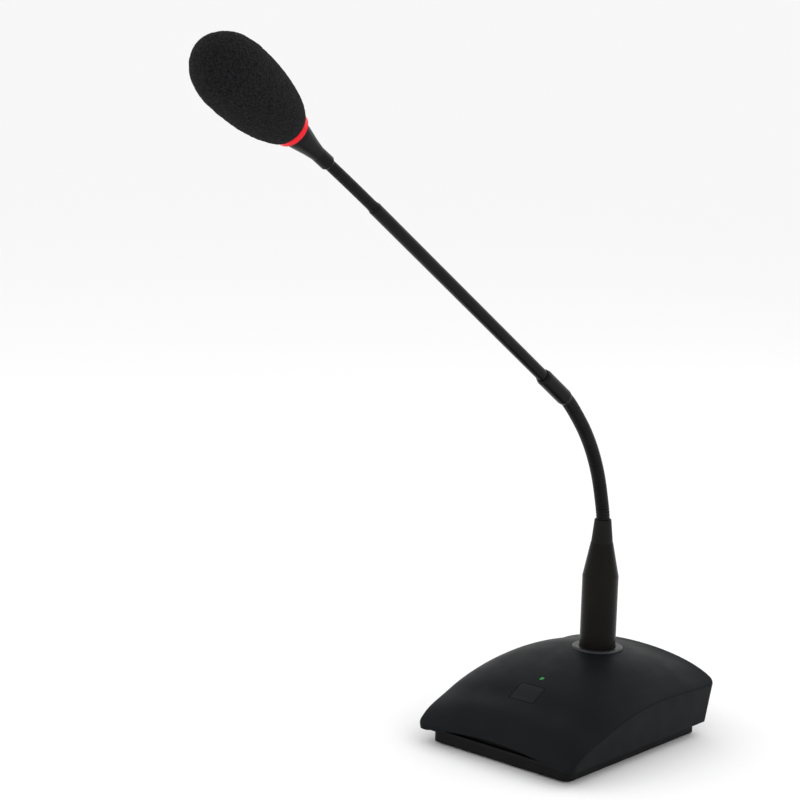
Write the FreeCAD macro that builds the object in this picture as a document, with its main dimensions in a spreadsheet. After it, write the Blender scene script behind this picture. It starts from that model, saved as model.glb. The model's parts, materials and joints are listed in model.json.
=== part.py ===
"""Gooseneck podium microphone: a weighted desk base with a talk button, a plug-in gooseneck and a lit head.

Frame: millimetres, +Z up, -Y to the front where the talker sits, +X to the right seen from the front.
The origin is on the resting plane, on the axis of the plug that stands in the base.
"""
import FreeCAD, Part
import math
import os
import re

import Sketcher
from FreeCAD import Placement, Rotation, Vector

DIMENSIONS = {
    # rubber mat, bottom tray and ballast
    "mat_thickness": 1.5, "mat_half_width": 33.5, "mat_front": 74, "mat_back": 26,
    "tray_bottom": 0.8, "tray_half_width": 44, "tray_front": 81, "tray_back": 30.6, "tray_corner": 4.6,
    "tray_floor": 2.4, "tray_wall": 2.2, "tray_height": 8.4, "rim_height": 1.4, "rim_gap": 0.2,
    "apron_half_width": 30, "apron_height": 12.2,
    "post_radius": 3.6, "post_x": 38, "post_front": 66, "post_back": 22,
    "ballast_half_width": 32, "ballast_front": 74, "ballast_back": 27, "ballast_thickness": 5,
    "ballast_corner": 3, "ballast_bite": 1.5, "ballast_screw_x": 26, "ballast_screw_front": 40,
    "ballast_screw_back": 18,
    "screw_radius": 1.5, "screw_head_radius": 2.8, "screw_head_height": 1.8, "screw_length": 12,
    "small_screw_radius": 1, "small_head_radius": 1.9, "small_head_height": 1.2, "small_screw_length": 5,
    # top cover
    "cover_bottom": 7.5, "cover_half_width": 49.8, "cover_front": 86.2, "cover_back": 33.2,
    "cover_height": 40, "cover_taper": 6.3, "cover_corner": 4.8, "cover_wall": 2.4, "edge_round": 1.5,
    "crown_half_width": 54.9, "boss_radius": 3.6, "boss_bottom": 9.4, "boss_top": 40,
    "post_top": 3, "pilot_depth": 9, "lip_mid_height": 12, "lip_arch_radius": 212, "lip_depth": 2.6,
    # talk button and its own board, in a frame that lies on the sloping cover
    "button_y": 58.8, "button_z": 31.6, "button_slope": 24, "button_width": 14.7, "button_depth": 11.6,
    "button_gap": 0.3, "flange_width": 17.2, "flange_depth": 13.8,
    "flange_bottom": 4.4, "flange_thickness": 1, "stem_radius": 1.5, "stem_bottom": 6,
    "plunger_radius": 1.7, "plunger_bottom": 9, "switch_side": 6, "switch_top": 7.6, "switch_well": 10.1,
    "button_board_top": 11, "button_board_thickness": 1.2, "button_board_width": 26,
    "button_board_front": 9.5, "button_board_length": 28, "button_post_x": 10.9, "button_post_front": 6.5,
    "button_post_back": 15, "button_post_radius": 2, "light_offset": 12.8, "light_radius": 1.35,
    "light_top": 0.55, "light_bottom": 9.4, "led_side": 3, "led_height": 1.5,
    # main board
    "spacer_radius": 2.5, "board_bottom": 13, "board_thickness": 1.6, "board_half_width": 31,
    "board_front": 71, "board_back": 21, "board_screw_x": 27, "board_screw_front": 67,
    "board_screw_back": 25, "connector_width": 9, "connector_depth": 6, "connector_height": 5,
    "lead_radius": 1.4, "lead_turn": 2, "lead_level": 17,
    # rear output jack
    "jack_x": 23, "jack_z": 18.2, "jack_bore": 3.2, "jack_body_side": 13, "jack_body_front": 11,
    "jack_body_back": 30.4, "jack_thread_radius": 4.4, "jack_thread_back": 39.4, "jack_hole_radius": 4.6,
    "washer_radius": 7, "washer_front": 35.5, "washer_thickness": 0.6, "nut_flat": 12, "nut_thickness": 2.4,
    # socket for the plug
    "bezel_radius": 13.2, "bezel_bottom": 41.6, "bezel_top": 44.4, "bezel_bore": 9.75, "bezel_bevel": 0.8,
    "socket_radius": 11.5, "socket_bottom": 19, "socket_floor": 22, "socket_bore": 9.75,
    "insert_radius": 7.7, "insert_top": 40, "pin_circle": 4.4, "pin_hole": 1.75, "contact_bore": 1.25,
    "contact_bottom": 23, "contact_top": 39.4,
    # plug at the foot of the gooseneck
    "plug_radius": 9.5, "plug_bore": 8.1, "plug_bottom": 24, "plug_top": 81, "plug_edge": 0.5,
    "pin_radius": 1.15, "pin_bottom": 27, "pin_top": 50, "plug_insert_bottom": 42, "plug_insert_top": 52,
    "cone_top_radius": 5.9, "cone_top": 100.2, "cone_skirt_radius": 8, "cone_skirt_bottom": 75,
    "cone_bore": 4.3, "cone_band": 1.4, "boot_radius": 5.7, "boot_top_radius": 4.4, "boot_top": 112.6,
    "boot_stub_radius": 4.2, "boot_stub_bottom": 96, "boot_bore": 3.65,
    # lower gooseneck: an arc of a circle in the plane of symmetry
    "neck_radius": 3.6, "neck_dome": 3.3, "neck_cup": 3.5, "neck_rim": 3.059, "neck_gap": 1.7,
    "neck_root_bottom": 92, "neck_start": 112.8, "bend_start": 102.1, "bend_radius": 102.5,
    "bend_angle": 54.6, "first_arc": 10.5, "last_arc": 88,
    # collar and rigid tube
    "collar_radius": 4.15, "collar_neck_radius": 3.8, "collar_length": 26, "collar_shoulder": 2,
    "collar_bore": 3.12, "collar_seat": 8, "tube_radius": 3.09, "tube_bore": 2.1, "tube_end": 183,
    "tube_chamfer": 1.2, "tube_tip_radius": 2.75, "mic_lead_radius": 1.2, "mic_lead_start": 10,
    "mic_lead_end": 168,
    # upper gooseneck
    "thin_radius": 2.65, "thin_dome": 2.4, "thin_cup": 2.58, "thin_rim": 2.436, "thin_gap": 0.85,
    "thin_root_bottom": 170, "thin_root_radius": 2.05, "thin_start": 184.2, "thin_link": 11.4,
    "thin_lean": 0.4,
    # head: heights are measured along its axis from the last joint
    "sleeve_radius": 3.5, "sleeve_end_radius": 3.05, "sleeve_end": 1.7, "sleeve_straight": 9.5,
    "sleeve_waist_radius": 4.3, "sleeve_waist": 14.5, "sleeve_flare_radius": 6.2, "sleeve_flare": 24,
    "sleeve_top_radius": 6.6, "sleeve_top": 27.4, "spigot_radius": 5.4, "spigot_top": 28.4,
    "ring_radius": 8.2, "ring_bore": 5.5, "ring_top": 31, "ring_bevel": 0.7,
    "ring_board_top": 29.4, "ring_board_radius": 5.4, "ring_board_bore": 2.4, "ring_led_radius": 3.9,
    "ring_led_side": 1.6, "ring_led_height": 0.9,
    "housing_radius": 6.5, "housing_bore": 5.6, "housing_floor": 32.6, "housing_top": 54,
    "housing_lead_hole": 1.6, "port_radius": 1.3, "port_height": 40,
    "holder_bottom": 45, "holder_top": 52, "capsule_radius": 4.85, "capsule_bottom": 46, "capsule_top": 51.2,
    "grille_bottom": 52.6, "grille_thickness": 0.8, "grille_hole": 0.55, "grille_pitch": 1.9,
    "foam_bottom": 31.3, "foam_widest": 68.5, "foam_tip": 92, "foam_radius": 16.6, "foam_tail": 43.5,
    "foam_bore": 6.8, "foam_bore_top": 56.5,
}

# Stations along the cover from back to front: distance in front of the origin, height of the crown and
# height of the line where the crown's half ellipse would meet the side.
CROWN = [(-40, 39.8, 23.4), (-12, 42.7, 22.5), (14, 43.4, 23.4), (38, 39.2, 21.5), (58, 32.1, 16.7),
         (72, 25.6, 12.6), (80, 19.8, 10.0), (84.6, 13.9, 8.3), (88.4, 9.2, 6.2)]

LOWER_LINKS = 6
UPPER_LINKS = 3

STATIONS = "abcdefghi"

doc = FreeCAD.newDocument("podium_microphone")
sheet = doc.addObject("Spreadsheet::Sheet", "dimensions")
aliases = []


def add_cell(alias, value):
    """Append one row to the sheet: its alias in column A, its value in column B."""
    aliases.append(alias)
    row = len(aliases)
    sheet.set(f"A{row}", alias)
    sheet.set(f"B{row}", str(value))
    sheet.setAlias(f"B{row}", alias)


def fill_sheet():
    for alias, value in DIMENSIONS.items():
        add_cell(alias, value)
    for letter, (front, crown, edge) in zip(STATIONS, CROWN):
        add_cell("front_" + letter, front)
        add_cell("crown_" + letter, crown)
        add_cell("edge_" + letter, edge)
    doc.recompute()


fill_sheet()


# ---- reading the sheet -------------------------------------------------------------------------
def size(alias):
    """The value of one cell."""
    return float(sheet.get(alias))


def number(formula):
    """The value of a sum of aliases and plain numbers, such as "plug_top - plug_bottom"."""
    total = 0.0
    sign = 1
    for word in str(formula).split():
        if word in ("+", "-"):
            sign = 1 if word == "+" else -1
            continue
        total += sign * (size(word) if word[0].isalpha() else float(word))
        sign = 1
    return total


def bound(formula):
    """The same sum as an expression on the sheet."""
    return re.sub(r"[a-z][a-z_]*", lambda word: "dimensions." + word.group(0), str(formula))


def bind(thing, **formulas):
    """Bind properties of an object to the sheet; a double underscore in a name stands for a dot."""
    for name, formula in formulas.items():
        thing.setExpression(name.replace("__", "."), bound(formula))
    return thing


def move(thing, x=None, y=None, z=None):
    """Bind the parts of a placement's position that are given."""
    for axis, formula in (("x", x), ("y", y), ("z", z)):
        if formula is not None:
            thing.setExpression("Placement.Base." + axis, bound(formula))
    return thing


# ---- sketches and features -----------------------------------------------------------------------
def origin_plane(body, role):
    return next(item for item in body.Origin.OriginFeatures if item.Role == role)


def new_sketch(body, name, plane):
    sketch = body.newObject("Sketcher::SketchObject", name)
    sketch.AttachmentSupport = [(origin_plane(body, plane), "")]
    sketch.MapMode = "FlatFace"
    return sketch


def pin_point(sketch, item, end, across, up):
    """Fix one point of a sketch by sums on the sheet, or on an axis where the sum is plain 0."""
    for kind, formula, axis in (("DistanceX", across, -2), ("DistanceY", up, -1)):
        if formula == "0":
            sketch.addConstraint(Sketcher.Constraint("PointOnObject", item, end, axis))
            continue
        index = sketch.addConstraint(Sketcher.Constraint(kind, -1, 1, item, end, number(formula)))
        sketch.setExpression(f"Constraints[{index}]", bound(formula))


def arc_centre(first, second):
    """Centre, on the sketch's upright axis, of the arc through two points."""
    square = first.x ** 2 + first.y ** 2 - second.x ** 2 - second.y ** 2
    return Vector(0, square / (2 * (first.y - second.y)), 0)


def draw_outline(sketch, corners):
    """A closed outline. A corner is (across, up); a third entry "arc" makes the edge after it an arc
    whose centre lies on the upright axis."""
    points = [Vector(number(corner[0]), number(corner[1]), 0) for corner in corners]
    ends = []
    for index, corner in enumerate(corners):
        first = points[index]
        second = points[(index + 1) % len(points)]
        if len(corner) > 2:
            centre = arc_centre(first, second)
            outward = (first + second) * 0.5 - centre
            middle = centre + outward.normalize() * (first - centre).Length
            item = sketch.addGeometry(Part.Arc(first, middle, second), False)
            sketch.addConstraint(Sketcher.Constraint("PointOnObject", item, 3, -2))
        else:
            item = sketch.addGeometry(Part.LineSegment(first, second), False)
        forward = (sketch.getPoint(item, 1) - first).Length < (sketch.getPoint(item, 2) - first).Length
        ends.append((item, 1, 2) if forward else (item, 2, 1))
    for index, corner in enumerate(corners):
        item, start, _ = ends[index]
        before, _, last = ends[index - 1]
        sketch.addConstraint(Sketcher.Constraint("Coincident", before, last, item, start))
        pin_point(sketch, item, start, corner[0], corner[1])


def draw_circles(sketch, centres, radius):
    """Circles of one bound radius about bound centres."""
    for across, up in centres:
        centre = Vector(number(across), number(up), 0)
        item = sketch.addGeometry(Part.Circle(centre, Vector(0, 0, 1), number(radius)), False)
        pin_point(sketch, item, 3, across, up)
        index = sketch.addConstraint(Sketcher.Constraint("Radius", item, number(radius)))
        sketch.setExpression(f"Constraints[{index}]", bound(radius))


def turned(name, corners, place=None):
    """A body turned about its own Z axis from one half outline of radius and height."""
    body = doc.addObject("PartDesign::Body", name)
    sketch = new_sketch(body, name + "_outline", "XZ_Plane")
    draw_outline(sketch, corners)
    turn = body.newObject("PartDesign::Revolution", name + "_turn")
    turn.Profile = sketch
    turn.ReferenceAxis = (sketch, ["V_Axis"])
    turn.Angle = 360
    if place:
        body.Placement = place
    return body


def round_corners(body, pad, radius):
    """Round the edges of a pad that rise from its sketch."""
    doc.recompute()
    rising = [f"Edge{index}" for index, edge in enumerate(pad.Shape.Edges, start=1)
              if abs(edge.Vertexes[0].Z - edge.Vertexes[-1].Z) > 0.1]
    rounding = body.newObject("PartDesign::Fillet", body.Name + "_corners")
    rounding.Base = (pad, rising)
    bind(rounding, Radius=radius)


def plate(name, corners, thickness, corner_radius=None, level=None):
    """A padded outline that stands on its body's XY plane, its upright edges rounded if asked."""
    body = doc.addObject("PartDesign::Body", name)
    sketch = new_sketch(body, name + "_outline", "XY_Plane")
    draw_outline(sketch, corners)
    pad = body.newObject("PartDesign::Pad", name + "_pad")
    pad.Profile = sketch
    bind(pad, Length=thickness)
    if corner_radius:
        round_corners(body, pad, corner_radius)
    if level is not None:
        move(body, z=level)
    doc.recompute()
    return body


def drill(body, name, centres, radius, depth=None, from_top=None):
    """Holes up from the body's XY plane, or down from a bound height, through all if no depth is given."""
    before = body.Shape.Volume
    sketch = new_sketch(body, name + "_circles", "XY_Plane")
    draw_circles(sketch, centres, radius)
    if from_top:
        sketch.setExpression("AttachmentOffset.Base.z", bound(from_top))
    pocket = body.newObject("PartDesign::Pocket", name)
    pocket.Profile = sketch
    pocket.Reversed = from_top is None
    if depth:
        bind(pocket, Length=depth)
    else:
        pocket.Type = "ThroughAll"
    doc.recompute()
    assert body.Shape.Volume < before - 0.01, name + " cut nothing"
    return pocket


def rectangle(left, right, front, back):
    return [(left, front), (right, front), (right, back), (left, back)]


def corners_of(x, front, back):
    """The four places of a screw pattern that is the same left and right."""
    return [(side + x, end) for side in ("", "- ") for end in (front, back)]


# ---- primitives and booleans ----------------------------------------------------------------------
def cylinder(name, radius, height, place=None):
    item = bind(doc.addObject("Part::Cylinder", name), Radius=radius, Height=height)
    if place:
        item.Placement = place
    return item


def box(name, length, width, height, place=None):
    item = bind(doc.addObject("Part::Box", name), Length=length, Width=width, Height=height)
    if place:
        item.Placement = place
    return item


def fused(name, pieces):
    item = doc.addObject("Part::MultiFuse", name)
    item.Shapes = pieces
    return item


def group(name, pieces):
    """Identical loose pieces that share one node."""
    item = doc.addObject("Part::Compound", name)
    item.Links = pieces
    return item


def less(name, base, tool):
    item = doc.addObject("Part::Cut", name)
    item.Base = base
    item.Tool = tool
    return item


def shared(name, first, second):
    item = doc.addObject("Part::Common", name)
    item.Base = first
    item.Tool = second
    return item


def upright(x, y, z):
    return Placement(Vector(x, y, z), Rotation())


# ---- local frames -----------------------------------------------------------------------------
BUTTON_FRAME = Placement(Vector(0, -size("button_y"), size("button_z")),
                         Rotation(Vector(1, 0, 0), size("button_slope")))


def on_slope(x, along, out):
    """A place in the button's frame: across, up the slope and out along its normal."""
    return BUTTON_FRAME.multiply(upright(x, along, out))


def leaning(y, z, degrees):
    """A place in the plane of symmetry with its Z axis leaning forwards."""
    return Placement(Vector(0, y, z), Rotation(Vector(1, 0, 0), degrees))


def neck_joints():
    """Joint centres of the lower gooseneck as (y, z): the boot's mouth, points on the arc, the collar."""
    radius = size("bend_radius")
    angle = math.radians(size("bend_angle"))
    step = (size("last_arc") - size("first_arc")) / LOWER_LINKS
    joints = [(0.0, size("neck_start"))]
    for index in range(1, LOWER_LINKS):
        turn = (size("first_arc") + index * step) / radius
        joints.append((-radius * (1 - math.cos(turn)), size("bend_start") + radius * math.sin(turn)))
    arc_end = (-radius * (1 - math.cos(angle)), size("bend_start") + radius * math.sin(angle))
    short = radius * angle - size("last_arc")
    joints.append((arc_end[0] + short * math.sin(angle), arc_end[1] - short * math.cos(angle)))
    return joints


def lean_between(lower, upper):
    """Forward lean in degrees of the line from one joint to the next."""
    return math.degrees(math.atan2(lower[0] - upper[0], upper[1] - lower[1]))


def along(joint, degrees, distance):
    """The point a distance from a joint along a leaning axis."""
    turn = math.radians(degrees)
    return (joint[0] - distance * math.sin(turn), joint[1] + distance * math.cos(turn))


LOWER_JOINTS = neck_joints()
TUBE_LEAN = size("bend_angle")
TUBE_PLACE = leaning(*LOWER_JOINTS[-1], TUBE_LEAN)


def upper_joints():
    """Joint centres of the thin gooseneck and the lean of the piece above each."""
    joints = [along(LOWER_JOINTS[-1], TUBE_LEAN, size("thin_start"))]
    leans = []
    for index in range(UPPER_LINKS + 1):
        leans.append(TUBE_LEAN + (index + 1) * size("thin_lean"))
        if index < UPPER_LINKS:
            joints.append(along(joints[-1], leans[-1], size("thin_link")))
    return joints, leans


UPPER_JOINTS, UPPER_LEANS = upper_joints()
HEAD_PLACE = leaning(*UPPER_JOINTS[-1], UPPER_LEANS[-1])


# ---- base: mat, tray and ballast ----------------------------------------------------------------
def make_mat():
    plate("non_slip_mat",
          rectangle("- mat_half_width", "mat_half_width", "- mat_front", "mat_back"),
          "mat_thickness", "ballast_corner")


def make_tray():
    """Open tray with a rim that closes the gap to the cover, a taller apron behind the cover's arched lip
    and a recess below for the mat."""
    outline = rectangle("- tray_half_width", "tray_half_width", "- tray_front", "tray_back")
    solid = plate("tray_block", outline, "tray_height - tray_bottom", "tray_corner", "tray_bottom")
    hollow = plate("tray_hollow",
                   rectangle("- tray_half_width + tray_wall", "tray_half_width - tray_wall",
                             "- tray_front + tray_wall", "tray_back - tray_wall"),
                   "tray_height", "tray_corner - tray_wall", "tray_bottom + tray_floor")
    recess = plate("mat_pocket",
                   rectangle("- mat_half_width - 0.1", "mat_half_width + 0.1",
                             "- mat_front - 0.1", "mat_back + 0.1"),
                   "mat_thickness", "ballast_corner")
    apron = plate("tray_apron",
                  rectangle("- apron_half_width", "apron_half_width",
                            "- tray_front", "- tray_front + tray_wall"),
                  "apron_height - tray_floor", None, "tray_floor")
    posts = []
    for index, (x, y) in enumerate(corners_of("post_x", "- post_front", "post_back")):
        post = cylinder(f"tray_post_{index + 1}", "post_radius", "boss_bottom - tray_floor")
        posts.append(move(post, x, y, "tray_floor"))
    rim = plate("tray_rim",
                rectangle("- cover_half_width + cover_wall + rim_gap",
                          "cover_half_width - cover_wall - rim_gap",
                          "- cover_front + cover_wall + rim_gap", "cover_back - cover_wall - rim_gap"),
                "rim_height", "cover_corner - cover_wall", "tray_height - rim_height")
    shell = less("tray_shell", fused("tray_outer", [solid, rim]), fused("tray_cuts", [hollow, recess]))
    full = fused("tray_full", [shell, apron] + posts)
    holes = []
    for index, (x, y) in enumerate(corners_of("post_x", "- post_front", "post_back")):
        hole = cylinder(f"tray_hole_{index + 1}", "screw_radius + 0.1", "boss_bottom")
        sink = cylinder(f"tray_sink_{index + 1}", "screw_head_radius + 0.2", "screw_head_height + 2")
        holes += [move(hole, x, y, "0"), move(sink, x, y, "0")]
    for index, (x, y) in enumerate(corners_of("ballast_screw_x", "- ballast_screw_front",
                                              "ballast_screw_back")):
        pilot = cylinder(f"ballast_pilot_{index + 1}", "small_screw_radius", "ballast_bite + 1")
        holes.append(move(pilot, x, y, "tray_bottom + tray_floor - ballast_bite"))
    less("bottom_tray", full, fused("tray_holes", holes))


def make_ballast():
    body = plate("ballast_plate",
                 rectangle("- ballast_half_width", "ballast_half_width", "- ballast_front", "ballast_back"),
                 "ballast_thickness", "ballast_corner", "tray_bottom + tray_floor")
    drill(body, "ballast_holes",
          corners_of("ballast_screw_x", "- ballast_screw_front", "ballast_screw_back"),
          "small_screw_radius + 0.1")


def screw_set(name, places, radius, head_radius, head_height, length, turned_over=False, frame=None):
    """Pan-head screws as separate solids of one node; each place is where the head's underside sits."""
    screws = []
    for index, (x, y, z) in enumerate(places):
        shank = cylinder(f"{name}_shank_{index + 1}", radius, length)
        head = cylinder(f"{name}_head_{index + 1}", head_radius, head_height)
        top = number(head_height)
        down = number(length)
        heights = (0.0, -top) if turned_over else (-down, 0.0)
        for piece, drop in zip((shank, head), heights):
            spot = upright(x, y, z + drop)
            piece.Placement = frame.multiply(spot) if frame else spot
        screws.append(fused(f"{name}_{index + 1}", [shank, head]))
    return group(name, screws)


def places_of(centres, z):
    return [(number(x), number(y), number(z)) for x, y in centres]


def make_base_screws():
    screw_set("ballast_screws",
              places_of(corners_of("ballast_screw_x", "- ballast_screw_front", "ballast_screw_back"),
                        "tray_bottom + tray_floor + ballast_thickness"),
              "small_screw_radius", "small_head_radius", "small_head_height",
              "ballast_thickness + ballast_bite")
    screw_set("cover_screws",
              places_of(corners_of("post_x", "- post_front", "post_back"), "screw_head_height + 2"),
              "screw_radius", "screw_head_radius", "screw_head_height", "screw_length", turned_over=True)


# ---- base: top cover ---------------------------------------------------------------------------
def crown_solid(name, wall):
    """The crowned upper form: a loft through half ellipses, made smaller all round by a wall."""
    half = size("crown_half_width") - wall
    wires = []
    for letter in STATIONS:
        y = -size("front_" + letter)
        level = size("edge_" + letter)
        crown = Vector(0, y, size("crown_" + letter) - wall)
        right = Vector(half, y, level)
        left = Vector(-half, y, level)
        arch = Part.Ellipse(right, crown, Vector(0, y, level)).toShape(0, math.pi)
        foot_left = Vector(-half, y, 0)
        foot_right = Vector(half, y, 0)
        wires.append(Part.Wire([arch, Part.makeLine(left, foot_left),
                                Part.makeLine(foot_left, foot_right), Part.makeLine(foot_right, right)]))
    item = doc.addObject("Part::Feature", name)
    item.Shape = Part.makeLoft(wires, True, False)
    return item


def plan_solid(name, wall):
    """The cover's plan outline with rounded corners, its walls leaning outwards as they rise."""
    outline = rectangle(f"- cover_half_width + {wall}", f"cover_half_width - {wall}",
                        f"- cover_front + {wall}", f"cover_back - {wall}")
    body = doc.addObject("PartDesign::Body", name)
    sketch = new_sketch(body, name + "_outline", "XY_Plane")
    draw_outline(sketch, outline)
    pad = body.newObject("PartDesign::Pad", name + "_pad")
    pad.Profile = sketch
    bind(pad, Length="cover_height", TaperAngle="cover_taper")
    round_corners(body, pad, f"cover_corner - {wall}")
    return move(body, z="cover_bottom" if wall == "0" else "cover_bottom - 1")


def crease_edges(shape):
    """The edges where the crown meets the walls, as numbered from 1: all but the foot and the uprights."""
    picked = []
    for index, edge in enumerate(shape.Edges, start=1):
        rise = edge.BoundBox.ZMax - edge.BoundBox.ZMin
        middle = edge.valueAt((edge.FirstParameter + edge.LastParameter) / 2)
        if middle.z > size("cover_bottom") + 1 and rise < 0.9 * edge.Length:
            picked.append(index)
    return picked


def cover_form(name, wall):
    """The crown trimmed to the plan, both made smaller by a wall."""
    return shared(name, crown_solid(name + "_crown", wall), plan_solid(name + "_plan", str(wall)))


def make_cover():
    """The shell, its inner bosses and posts, and its openings; returns the solid outer form."""
    outer = cover_form("outer_form", 0)
    wall = size("cover_wall")
    inner = cover_form("inner_form", wall)
    middle = cover_form("middle_form", wall / 2)
    doc.recompute()
    softened = doc.addObject("Part::Fillet", "softened_form")
    softened.Base = outer
    radius = size("edge_round")
    softened.Edges = [(index, radius, radius) for index in crease_edges(outer.Shape)]
    doc.recompute()
    shell = less("cover_shell", softened, inner)

    bosses = []
    for index, (x, y) in enumerate(corners_of("post_x", "- post_front", "post_back")):
        boss = cylinder(f"cover_boss_{index + 1}", "boss_radius", "boss_top - boss_bottom")
        bosses.append(move(boss, x, y, "boss_bottom"))
    for index, (x, y) in enumerate(button_posts()):
        bosses.append(cylinder(f"button_post_{index + 1}", "button_post_radius",
                               "button_board_top + post_top", on_slope(x, y, -size("button_board_top"))))
    trimmed = shared("cover_bosses", fused("boss_set", bosses), middle)
    less("top_cover", fused("cover_full", [shell, trimmed]), fused("cover_cuts", cover_cuts()))
    return softened


def button_posts():
    """The four posts that hold the button's board, in the button's frame."""
    x = size("button_post_x")
    return [(side * x, y) for side in (1, -1) for y in (-size("button_post_front"), size("button_post_back"))]


def cover_cuts():
    """Everything that is cut out of the cover."""
    cuts = []
    for index, (x, y) in enumerate(corners_of("post_x", "- post_front", "post_back")):
        pilot = cylinder(f"cover_pilot_{index + 1}", "screw_radius", "pilot_depth")
        cuts.append(move(pilot, x, y, "boss_bottom"))
    for index, (x, y) in enumerate(button_posts()):
        cuts.append(cylinder(f"button_pilot_{index + 1}", "small_screw_radius", "small_screw_length",
                             on_slope(x, y, -size("button_board_top"))))
    hole = cylinder("socket_hole", "socket_radius + 0.2", "bezel_top")
    cuts.append(move(hole, z="socket_bottom"))
    seat = cylinder("bezel_seat", "bezel_radius + 0.15", "bezel_bottom")
    cuts.append(move(seat, z="bezel_bottom"))
    cuts.append(cylinder("light_hole", "light_radius + 0.1", "light_bottom",
                         on_slope(0, size("light_offset"), -6)))
    gap = size("button_gap")
    cuts.append(box("button_window", "button_width + button_gap + button_gap",
                    "button_depth + button_gap + button_gap", "switch_side + 2",
                    on_slope(-size("button_width") / 2 - gap, -size("button_depth") / 2 - gap, -4)))
    backward = Rotation(Vector(1, 0, 0), -90)
    cuts.append(cylinder("jack_hole", "jack_hole_radius", "jack_thread_radius + 6",
                         Placement(Vector(-size("jack_x"), 29, size("jack_z")), backward)))
    arch_centre = size("lip_mid_height") - size("lip_arch_radius")
    cuts.append(cylinder("lip_arch", "lip_arch_radius", "lip_depth + 4",
                         Placement(Vector(0, -size("cover_front") - 4, arch_centre), backward)))
    return cuts


# ---- base: talk button, status light and their board -----------------------------------------------
def make_button(outer_form):
    """The cap is the block's share of the cover's own form, so its top lies flush with the crown."""
    block = box("button_block", "button_width", "button_depth", "switch_side + 2",
                on_slope(-size("button_width") / 2, -size("button_depth") / 2, -size("flange_bottom")))
    cap = shared("button_cap", outer_form, block)
    flange = box("button_flange", "flange_width", "flange_depth", "flange_thickness",
                 on_slope(-size("flange_width") / 2, -size("flange_depth") / 2, -size("flange_bottom")))
    stem = cylinder("button_stem", "stem_radius", "stem_bottom - flange_bottom + 0.5",
                    on_slope(0, 0, -size("stem_bottom")))
    fused("talk_button", [cap, flange, stem])
    cylinder("switch_plunger", "plunger_radius", "plunger_bottom - stem_bottom",
             on_slope(0, 0, -size("plunger_bottom")))


def make_button_board():
    half = size("button_board_width") / 2
    front = -size("button_board_front")
    bottom = -size("button_board_top") - size("button_board_thickness")
    slab = box("button_board_slab", "button_board_width", "button_board_length", "button_board_thickness",
               on_slope(-half, front, bottom))
    holes = [cylinder(f"button_board_hole_{index + 1}", "small_screw_radius + 0.1", "small_screw_length",
                      on_slope(x, y, bottom - 1)) for index, (x, y) in enumerate(button_posts())]
    less("button_board", slab, fused("button_board_holes", holes))
    flipped = BUTTON_FRAME.multiply(Placement(Vector(0, 0, bottom), Rotation(Vector(1, 0, 0), 180)))
    screw_set("button_board_screws", [(x, -y, 0.0) for x, y in button_posts()],
              "small_screw_radius", "small_head_radius", "small_head_height", "small_screw_length",
              frame=flipped)

    side = size("switch_side")
    case = box("switch_case", "switch_side", "switch_side", "button_board_top - switch_top",
               on_slope(-side / 2, -side / 2, -size("button_board_top")))
    well = cylinder("switch_well_cut", "plunger_radius + 0.1", "switch_well",
                    on_slope(0, 0, -size("switch_well")))
    less("tact_switch", case, well)

    led = size("led_side")
    box("status_led", "led_side", "led_side", "led_height",
        on_slope(-led / 2, size("light_offset") - led / 2, -size("button_board_top")))
    cylinder("light_pipe", "light_radius", "light_bottom - light_top",
             on_slope(0, size("light_offset"), -size("light_bottom")))


# ---- base: main board, jack and leads ----------------------------------------------------------
def make_board():
    centres = corners_of("board_screw_x", "- board_screw_front", "- board_screw_back")
    spacers = []
    for index, (x, y) in enumerate(centres):
        outer = move(cylinder(f"spacer_outer_{index + 1}", "spacer_radius",
                              "board_bottom - tray_bottom - tray_floor - ballast_thickness"),
                     x, y, "tray_bottom + tray_floor + ballast_thickness")
        core = move(cylinder(f"spacer_core_{index + 1}", "small_screw_radius", "board_bottom"),
                    x, y, "tray_bottom + tray_floor + ballast_thickness")
        spacers.append(less(f"spacer_{index + 1}", outer, core))
    group("board_spacers", spacers)
    body = plate("circuit_board",
                 rectangle("- board_half_width", "board_half_width", "- board_front", "- board_back"),
                 "board_thickness", None, "board_bottom")
    drill(body, "circuit_board_holes", centres, "small_screw_radius + 0.1")
    screw_set("board_screws", places_of(centres, "board_bottom + board_thickness"),
              "small_screw_radius", "small_head_radius", "small_head_height", "small_screw_length")

    top = size("board_bottom") + size("board_thickness")
    chips = []
    for index, (x, y, length, width, height) in enumerate(
            ((-14, -40, 10, 6, 1.6), (6, -38, 7, 7, 1.4), (18, -50, 5, 4, 1.5), (-22, -56, 5, 6, 2.0),
             (-24, -34, 4, 4, 1.2), (19, -36, 4, 3, 1.2))):
        chip = doc.addObject("Part::Box", f"chip_{index + 1}")
        chip.Length, chip.Width, chip.Height = length, width, height
        chip.Placement = upright(x - length / 2, y - width / 2, top)
        chips.append(chip)
    group("board_chips", chips)
    connector = box("board_connector", "connector_width", "connector_depth", "connector_height")
    connector.Placement = upright(-size("connector_width") / 2,
                                  -size("board_back") - size("connector_depth") - 1, top)


def make_signal_lead():
    """From the socket's back one quarter turn down and forwards, then level to the board's connector."""
    turn = size("lead_turn")
    level = size("lead_level")
    half_way = Vector(0, -turn * (1 - math.cos(math.pi / 4)), level + turn * (1 - math.sin(math.pi / 4)))
    start = Vector(0, 0, level + turn)
    corner = Vector(0, -turn, level)
    end = Vector(0, -size("board_back") - 1, level)
    path = Part.Wire([Part.Arc(start, half_way, corner).toShape(), Part.makeLine(corner, end)])
    ring = Part.Wire(Part.makeCircle(size("lead_radius"), start, Vector(0, 0, 1)))
    lead = doc.addObject("Part::Feature", "signal_lead")
    lead.Shape = path.makePipeShell([ring], True, False)


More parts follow.
